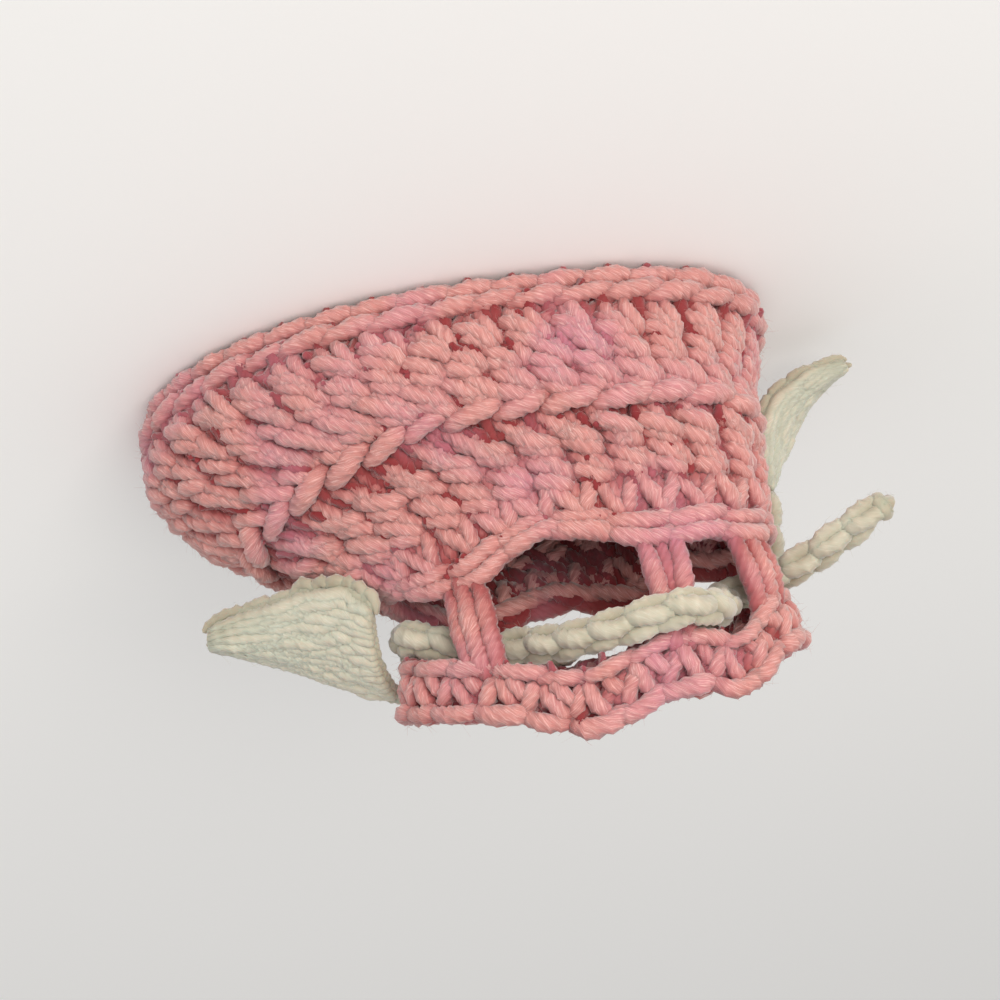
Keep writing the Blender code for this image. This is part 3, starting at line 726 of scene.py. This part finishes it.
# %% Posts
# Columns: foot and head beside the post's middle, out of the wall, radius, all in millimetres.
TENT = ((-2.3, -0.8, -0.7, 1.55), (2.3, 0.9, -0.6, 1.55), (0.0, 0.1, -1.3, 1.50))
LEANING = ((-1.2, -2.3, -0.8, 1.50), (1.0, -0.3, -0.5, 1.60), (3.0, 1.4, -0.8, 1.50))
BOW = np.array((-1.2, -0.3, 0.1, 0.1, -0.3, -1.2))
UP_A_POST = np.array((0.0, 0.14, 0.36, 0.62, 0.86, 1.0))
POST_FROM, POST_RISE = 0.90, 1.28
posts = wound["post_yarn"] = Skein("post_yarn")
for place, angle in enumerate(POSTS[:, 0]):
    centre = math.radians(angle)
    nearby = bare_surface(np.array((centre - 1e-3, centre + 1e-3)), np.ones(2))
    speed = np.linalg.norm(nearby[1] - nearby[0]) / 2e-3 / MM
    for foot, head, out, radius in (TENT, LEANING)[place % 2]:
        turn = centre + mix(foot, head, UP_A_POST) / speed
        bow = BOW + out
        points, normals = on_wall(turn, POST_FROM + UP_A_POST * POST_RISE, bow)
        posts.lay(points[None], normals[None], bow[None], radius)

# %% [markdown]
# ## The sole
# The sole is worked flat round a short line down its middle. Its strands are pressed level with the floor,
# and a rope of loops runs round its edge, under the ridge of the upper.

# %% Sole rounds
SOLE_SPINE = (-0.022, 0.020)
SOLE_ROUNDS, SOLE_STITCHES, SOLE_DECREASE = 4, 36, 6
SOLE_FIRST, SOLE_ROUND = 0.06, 0.235
EDGE_IN, EDGE_HEIGHT, EDGE_RISE = 0.0016, 0.00165, 0.0011


def sole_oval(turn):
    return np.stack(oval(turn, HEEL_X, TOE_X, BALL_WIDTH / 2, HEEL_WIDTH / 2, SOLE_FULLNESS), -1)


def towards_spine(edge, inward):
    """From the sole's edge to the short line down its middle, by a share."""
    spine = np.stack((np.clip(edge[..., 0], *SOLE_SPINE), 0 * edge[..., 1]), -1)
    return mix(edge, spine, inward)


sole_line = sole_oval(FINE_TURNS)
sole_steps = lengths_along(sole_line)


def sole_turn(share):
    return np.interp((share % 1.0) * sole_steps[-1], sole_steps, FINE_TURNS)


def flat_spot(low, high, side, radius):
    """Rounds of the flat sole: up runs from the edge inward, side is -1 underneath and 1 inside the shoe."""
    def spot(share, up, out):
        flat = towards_spine(sole_oval(sole_turn(share)), mix(low, high, up)[..., None])
        surface = SOLE_THICKNESS / 2 + side * (SOLE_THICKNESS / 2 - radius * MM)
        z = surface + side * np.minimum(out + 0.2, 0.0) * MM
        return np.concatenate((flat, z[..., None]), -1), np.zeros(flat.shape[:-1] + (3,)) + (0, 0, side)
    return spot


def edge_spot(share, up, out):
    turn = sole_turn(share)
    points, normals = on_wall(turn, np.zeros_like(turn), out - EDGE_IN / MM)
    points[..., 2] = EDGE_HEIGHT + (up - 0.1) * EDGE_RISE
    return points, normals


sole_yarn = wound["sole_yarn"] = Skein("sole_yarn")
for side, radius, sides in ((-1, 1.30, SIDES), (1, 1.30, 8)):
    for ring in range(SOLE_ROUNDS):
        low, high = (SOLE_FIRST + SOLE_ROUND * r for r in (ring, ring + 1))
        spot = flat_spot(low, high, side, radius)
        work_row(
            sole_yarn, FLAT_STITCH, SOLE_STITCHES - SOLE_DECREASE * ring, spot, radius,
            shift=0.4 * ring, loose=0.7, sides=sides, step=1.1)
work_row(sole_yarn, SOLE_LOOP, SOLE_STITCHES, edge_spot, 1.45, shift=0.5, loose=0.5)


def sole_core(columns=120):
    """A thin plate in the painted shade colour that closes the gaps between the sole's strands."""
    ring = sole_oval(np.linspace(0, 2 * np.pi, columns, endpoint=False))
    rings = []
    for height, shares in ((0.0011, (0.06, 0.5, 0.99)), (0.0019, (0.99, 0.5, 0.06))):
        for inward in shares:
            rings.append(np.column_stack((towards_spine(ring, inward), np.full(columns, height))))
    return closed_rings("sole_core", rings, PINK_YARN)


sole_pieces = [sole_core()]

# %% [markdown]
# ## The drawstring
# The drawstring is a crocheted chain of white yarn, worked tight. It follows the same route as the solid,
# inside and outside the posts. One short free end leaves through the back eyelet and ends in a small knot,
# and the longer one hangs down the heel and carries a leaf.

# %% The drawstring's route
# Columns: angle, how far out of the wall's middle (1 outside, -1 inside), height between the chain and the
# hem.
WEAVES = (
    (209, -1.4, 0.45), (246, 1, 0.80), (303, -1, 0.60), (360, 0.15, 0.55), (417, 1, 0.60), (465, -1, 0.60),
    (502, 1.1, 0.72),
)
WEAVE_STEPS = 9
# The free ends beyond the weave, in cord diameters from the wall's top edge at the back of the ankle.
SHORT_END = (
    (1.11, 0.17, 0.76), (0.56, 0.19, 0.62), (0.04, 0.06, 0.50), (-0.44, -0.17, 0.44), (-0.93, -0.43, 0.33),
    (-1.41, -0.67, 0.18), (-1.89, -0.85, 0.02), (-2.37, -1.04, -0.13), (-2.59, -1.11, -0.19),
)
LONG_END = (
    (0.46, 1.94, 0.46), (0.30, 1.93, -0.09), (0.20, 1.93, -0.65), (0.11, 1.98, -1.20), (0.00, 2.06, -1.76),
    (-0.13, 2.15, -2.30), (-0.28, 2.24, -2.80),
)
SHORT_END_LENGTH, LONG_END_LENGTH, CORD_JOINT_GAP = 0.0345, 0.0355, 0.0007


def free_end(places):
    return np.array((ANKLE_BACK_X, 0, ANKLE_HEIGHT)) + np.array(places) * CORD_DIAMETER


def ankle(turn):
    return bare_surface(turn, np.ones_like(turn))


def weave_points(turn, side, height):
    step = 1e-3
    ahead, behind = ankle(turn + step), ankle(turn - step)
    outward = np.stack((ahead[:, 1] - behind[:, 1], behind[:, 0] - ahead[:, 0], 0 * turn), -1)
    outward /= np.linalg.norm(outward, axis=1, keepdims=True)
    clear = (WALL + CORD_DIAMETER) / 2 + FIT_GAP + ROUND_RELIEF
    point = ankle(turn)
    point[:, 2] = mix(point[:, 2], HEM_FOOT_Z + hem_arch(turn), height)
    return point + outward * (clear * side - WALL / 2 - ROUND_RELIEF)[:, None]


def route_knots():
    table = np.array(WEAVES, float)
    steps = np.arange(WEAVE_STEPS * (len(table) - 1) + 1) / WEAVE_STEPS
    low = np.minimum(steps.astype(int), len(table) - 2)
    share = steps - low
    one, two = table[low], table[low + 1]
    angle = mix(one[:, 0], two[:, 0], share)
    side, height = mix(one[:, 1:], two[:, 1:], ease(0, 1, share)[:, None]).T
    weave = weave_points(np.radians(angle), side, height)
    return np.concatenate((free_end(SHORT_END[::-1]), weave, free_end(LONG_END)))


knots = route_knots()
route = through(knots, np.linspace(0, 1, 12 * (len(knots) - 1) + 1))
route_at = lengths_along(route)
full = route_at[-1]
route_side = np.empty_like(route)
now = np.array((0.0, 0.0, 1.0))
for k in range(len(route)):
    ahead = route[min(k + 1, len(route) - 1)] - route[max(k - 1, 0)]
    ahead /= np.linalg.norm(ahead)
    now = now - now @ ahead * ahead
    now /= np.linalg.norm(now)
    route_side[k] = now
print("cord from tip to leaf:", round(full * 1000), "mm")


# %% The chain stitches of the cord
# Columns: along, angle from the front in degrees, millimetres out of the cord's middle.
CORD_STROKE = (
    (-0.10, 0, 0.2), (0.10, 34, 0.9), (0.42, 52, 1.25), (0.80, 34, 1.35), (1.08, 14, 1.05), (1.26, 4, 0.4),
)
CORD_LINK = (CORD_STROKE, tuple((along, -angle, out) for along, angle, out in CORD_STROKE))
LINK_MM = 5.2
CORD_STRAND = 1.36


def on_route(along, line):
    """Values of line, which has a row for each point of the route, at lengths along it."""
    return np.stack([np.interp(along, route_at, line[:, k]) for k in range(3)], -1)


def cord_points(along, angle, out):
    """along in metres, angle in radians round the cord, out in millimetres."""
    side, step = on_route(along, route_side), 5e-4
    other = np.cross(on_route(along + step, route) - on_route(along - step, route), side)
    other /= np.linalg.norm(other, axis=-1, keepdims=True)
    normal = side * np.cos(angle)[..., None] + other * np.sin(angle)[..., None]
    return on_route(along, route) + normal * (out * MM)[..., None], normal


def chain_cord(name, start, end):
    skein = wound[name] = Skein(name, WHITE_RELIEF)
    count = round((end - start) / MM / LINK_MM)
    for facing, late in ((90, 0.0), (270, 0.5)):
        def spot(share, up, out):
            at = np.clip(mix(start, end, share), start + 2e-4, end - 2e-4)
            return cord_points(at, np.radians(up + facing), out)
        for stroke in CORD_LINK:
            along, angle, out = np.array(stroke).T
            stitch = np.arange(count - (late > 0))[:, None] + late
            along = along + stitch + rng.normal(0, 0.03, stitch.shape)
            angle = angle + rng.normal(0, 4, stitch.shape)
            out = out + rng.normal(0, 0.08, stitch.shape)
            points, normals = spot(along / count, angle, out)
            skein.lay(points, normals, out - 1.6, CORD_STRAND * rng.uniform(0.95, 1.06, len(stitch)))
    return skein


def end_knot(skein, middle, heading, radius_mm, strand):
    """Two turns of yarn drawn tight across each other."""
    turn = np.linspace(0, 2 * np.pi, 9) - 0.3
    heading = heading / np.linalg.norm(heading)
    side = np.cross(heading, (0, 0, 1))
    side /= np.linalg.norm(side)
    up = np.cross(side, heading)
    for one, two, grow in ((side, up, 1.0), (heading, up, 0.8), (side, heading, 0.9)):
        normal = one * np.cos(turn)[:, None] + two * np.sin(turn)[:, None]
        out = np.full((1, 9), -0.9)
        skein.lay((middle + normal * radius_mm * grow * MM)[None], normal[None], out, strand)


short_cord = chain_cord("tie_end_short_yarn", 0.0, SHORT_END_LENGTH)
end_knot(short_cord, route[0] + (route[4] - route[0]) * 0.5, route[0] - route[4], 1.05, 1.15)
chain_cord("drawstring_yarn", SHORT_END_LENGTH + CORD_JOINT_GAP, full - LONG_END_LENGTH - CORD_JOINT_GAP)
chain_cord("tie_end_long_yarn", full - LONG_END_LENGTH, full)

# %% [markdown]
# ## The leaves
# A leaf is worked dense and nearly smooth: strands run side by side from its foot to its tip, and a row of
# loops closes the edge in small scallops. Both faces are dressed, since the front leaf stands clear of the
# foot.

# %% Leaf surfaces
# Columns: place along the midrib and half width, both shares.
FRONT_LEAF = np.array((
    (0.00, 0.88), (0.15, 1.00), (0.32, 1.00), (0.50, 0.92), (0.68, 0.72), (0.84, 0.46), (0.95, 0.26),
    (1.00, 0.14),
))
TIE_LEAF = np.array((
    (0.00, 0.34), (0.18, 0.72), (0.38, 1.00), (0.58, 0.90), (0.78, 0.58), (0.92, 0.34), (1.00, 0.18),
))
FRONT_LEAF_WIDTH, FRONT_LEAF_OVERHANG, FRONT_LEAF_CUP = 0.0210, 0.0180, 0.0022
FRONT_LEAF_TILT = math.radians(34)
FRONT_LEAF_SIDE = np.array((0, math.cos(FRONT_LEAF_TILT), math.sin(FRONT_LEAF_TILT)))
TIE_LEAF_LENGTH, TIE_LEAF_WIDTH, TIE_LEAF_CUP = 0.0225, 0.0100, 0.0008
LEAF_REST_RISE, FRONT_LEAF_ROOT_LIFT, FRONT_LEAF_TIP_DROP = 0.66, 0.0018, 0.0030
TIE_LEAF_SIDE = np.array((0.30, -0.90, -0.30)) / np.linalg.norm((0.30, -0.90, -0.30))


def front_leaf_midrib():
    turn, side, height = WEAVES[3]
    root = weave_points(np.radians([float(turn)]), np.array([side]), np.array([height]))[0]
    root = root + (CORD_DIAMETER / 2 + FIT_GAP + LEAF_THICKNESS * 0.4, 0, FRONT_LEAF_ROOT_LIFT)
    lift = LEAF_THICKNESS / 2 + FIT_GAP
    rest = bare_surface(0.0, LEAF_REST_RISE) + (0, 0, lift + FRONT_LEAF_WIDTH * 0.25)
    tip = rest + (FRONT_LEAF_OVERHANG, 0, -FRONT_LEAF_TIP_DROP)
    return np.array((root, mix(root, rest, 0.5), mix(root, rest, 1.05), tip))


def tie_leaf_midrib():
    before, end = free_end(LONG_END[-2:])
    heading = (end - before) / np.linalg.norm(end - before)
    start = end + heading * FIT_GAP
    tip = start + np.array((-0.70, -0.05, -0.72)) * TIE_LEAF_LENGTH
    bend = start + np.array((-0.20, -0.01, -0.62)) * TIE_LEAF_LENGTH
    return np.array((start, start + heading * TIE_LEAF_LENGTH * 0.35, bend, tip))


def leaf_points(midrib, rows, side, cup, width, along, across, out):
    """out is in millimetres above the leaf's middle, on the side that its cup opens to."""
    a, b, c, d = midrib
    t = np.clip(along, 0, 1)[..., None]
    left = 1 - t
    place = a * left**3 + b * (3 * left * left * t) + c * (3 * left * t * t) + d * t**3
    tangent = (b - a) * left * left + (c - b) * (2 * left * t) + (d - c) * t * t
    tangent /= np.linalg.norm(tangent, axis=-1, keepdims=True)
    up = np.cross(np.broadcast_to(side, tangent.shape), tangent)
    up /= np.linalg.norm(up, axis=-1, keepdims=True)
    half = np.interp(np.clip(along, 0, 1), rows[:, 0], rows[:, 1]) * width / 2
    place = place + tangent * (along[..., None] - t) * np.linalg.norm(d - a)
    raised = cup * across * across + out * MM
    return place + side * (half * across)[..., None] + up * raised[..., None], up


# %% Leaf stitches
LEAF_ROWS = (0.05, 0.16, 0.27, 0.38, 0.49, 0.60, 0.71, 0.82)
LEAF_STOPS = 12
LEAF_WORKED = 0.985
FACE_OFF = 0.25
# The edge loops stay inside the solid's rim by these widths.
FRONT_TRIM, TIE_TRIM = 0.0016, 0.0014
LEAF_EDGE = (
    ((-0.20, 0.80, -0.2), (0.08, 0.93, 0.2), (0.50, 0.98, 0.1), (0.92, 0.93, 0.2), (1.16, 0.80, -0.3)),
)


def crochet_leaf(name, shape, count, strand):
    """shape holds what leaf_points takes first: midrib, rows, side, cup and width."""
    skein = wound[name] = Skein(name, WHITE_RELIEF)
    for face in (1, -1):
        for hand in (1, -1):
            def spot(share, up, out):
                points, normal = leaf_points(
                    *shape, share * LEAF_WORKED, up * hand, (out + FACE_OFF) * face)
                return points, normal * face
            for middle in LEAF_ROWS:
                along = np.linspace(0.0, 1.0, LEAF_STOPS)
                across = middle + rng.normal(0, 0.030, LEAF_STOPS)
                out = rng.normal(0.1, 0.16, LEAF_STOPS)
                points, normals = spot(along, across, out)
                skein.lay(points[None], normals[None], out[None], strand)
            if face == 1:
                work_row(skein, LEAF_EDGE, count, spot, 0.8 * strand, loose=0.6)


front_shape = front_leaf_midrib(), FRONT_LEAF, FRONT_LEAF_SIDE, FRONT_LEAF_CUP, FRONT_LEAF_WIDTH - FRONT_TRIM
tie_shape = tie_leaf_midrib(), TIE_LEAF, TIE_LEAF_SIDE, TIE_LEAF_CUP, TIE_LEAF_WIDTH - TIE_TRIM
crochet_leaf("front_leaf_yarn", front_shape, 9, 1.30)
crochet_leaf("tie_leaf_yarn", tie_shape, 7, 1.00)

# %% [markdown]
# ## Dress the solids
# Every soft solid is replaced by its yarn. The strands lie in the solid's own space, so each piece names the
# node that it stands for, and all ride on the one body.

WHOLE_NODES = ("sole", "drawstring", "tie_end_short", "tie_end_long", "front_leaf", "tie_leaf")
STANDS_FOR = {node + "_yarn": node for node in WHOLE_NODES}
SLOTS = {"upper": "pink yarn", "sole": "deep pink yarn"}
pieces = {}
for name, skein in wound.items():
    node = STANDS_FOR.get(name, "upper")
    pieces[name] = (skein.wind(PINK_YARN if node in SLOTS else WHITE_YARN), node)
pieces.update({piece.name: (piece, "upper") for piece in upper_pieces})
pieces.update({piece.name: (piece, "sole") for piece in sole_pieces})


# %% Loose fibres
HAIR_ROWS, HAIR_SIDES = 3, 3
HAIR_RADIUS, HAIR_TAPER = 0.020 * MM, 0.6
OUTER_SHARE = 0.55


def fuzz(name, skeins, count, length, material, node):
    """Short bent fibres that stand off the yarn's outer faces, as three-sided needles."""
    roots = np.concatenate([part for skein in skeins for part in skein.roots])
    roots = roots[roots[:, 6] > np.quantile(roots[:, 6], OUTER_SHARE)]
    roots = roots[rng.integers(0, len(roots), count)]
    normal = roots[:, 3:6]
    lean = rng.normal(0, 1, (count, 3))
    lean -= (lean * normal).sum(1, keepdims=True) * normal
    lean /= np.linalg.norm(lean, axis=1, keepdims=True)
    bend = rng.normal(0, 0.5, (count, 3))
    size = length * MM * rng.uniform(0.4, 1.0, count)[:, None] ** 1.5
    share = np.linspace(0, 1, HAIR_ROWS)[None, :, None]
    sway = normal[:, None] * 0.55 + lean[:, None] * (0.5 + 0.6 * share) + bend[:, None] * share**2
    path = roots[:, None, :3] + size[:, None] * share * sway
    path[..., 2] = np.maximum(path[..., 2], 3 * FLOOR_CLEAR)
    cross = np.cross(normal, lean)
    theta = 2 * np.pi * np.arange(HAIR_SIDES) / HAIR_SIDES
    ring = normal[:, None] * np.cos(theta)[None, :, None] + cross[:, None] * np.sin(theta)[None, :, None]
    thick = HAIR_RADIUS * (1 - HAIR_TAPER * share[..., None])
    points = (path[:, :, None] + ring[:, None] * thick).reshape(-1, 3)
    index = np.arange(count * HAIR_ROWS * HAIR_SIDES).reshape(count, HAIR_ROWS, HAIR_SIDES)
    after = np.roll(index, -1, 2)
    quads = np.stack((index[:, :-1], after[:, :-1], after[:, 1:], index[:, 1:]), -1).reshape(-1, 4).tolist()
    caps = index[:, -1].tolist() + index[:, 0, ::-1].tolist()
    # Every fibre is at depth 1, so it takes the crown's painted highlight colour.
    made = yarn_object(name, points, quads + caps, material, np.ones(len(points)))
    pieces[name] = (made, node)
    print(name, "fibres:", count)


outer_skeins = [skein for name, skein in wound.items() if name not in STANDS_FOR and "inner" not in name]
fuzz("pink_fuzz", outer_skeins, 14000, 1.2, PINK_YARN, "upper")
for name, node in STANDS_FOR.items():
    if node not in SLOTS:
        fuzz(name.replace("yarn", "fuzz"), [wound[name]], 400, 1.0, WHITE_YARN, node)

for piece, node in pieces.values():
    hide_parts(node)
    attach(piece, "root")


print("free ends:", round(SHORT_END_LENGTH * 1000, 1), "and", round(LONG_END_LENGTH * 1000, 1), "mm")

# %% Floor and light
FLOOR_PAINT, FLOOR_ROUGHNESS = (0.95, 0.947, 0.944, 1), 0.8
SKY, SKY_STRENGTH = (1.0, 0.99, 0.97, 1), 0.64
LAMPS = (
    # name, place, size, watts, colour
    ("key", (-0.22, -0.50, 0.17), 0.36, 2.3, (1.0, 0.95, 0.88)),
    ("fill", (0.45, -0.30, 0.45), 0.50, 0.4, (0.95, 0.97, 1.0)),
)


def studio():
    mesh = bpy.data.meshes.new("floor")
    mesh.from_pydata([(-2, -2, 0), (2, -2, 0), (2, 2, 0), (-2, 2, 0)], [], [(0, 1, 2, 3)])
    floor = linked("floor", mesh)
    paint = bpy.data.materials.new("pale floor")
    paint.use_nodes = True
    shader = paint.node_tree.nodes["Principled BSDF"]
    shader.inputs["Base Color"].default_value = FLOOR_PAINT
    shader.inputs["Roughness"].default_value = FLOOR_ROUGHNESS
    mesh.materials.append(paint)
    world = bpy.data.worlds.new("studio")
    bpy.context.scene.world = world
    world.use_nodes = True
    sky = world.node_tree.nodes["Background"]
    sky.inputs[0].default_value, sky.inputs[1].default_value = SKY, SKY_STRENGTH
    for name, place, size, watts, colour in LAMPS:
        light = bpy.data.lights.new(name, "AREA")
        light.size, light.energy, light.color = size, watts, colour
        lamp = linked(name, light)
        lamp.location = place
        lamp.rotation_euler = (Vector((0, 0, 0.02)) - Vector(place)).to_track_quat("-Z", "Y").to_euler()
    bpy.context.scene.view_settings.view_transform = "Standard"


studio()
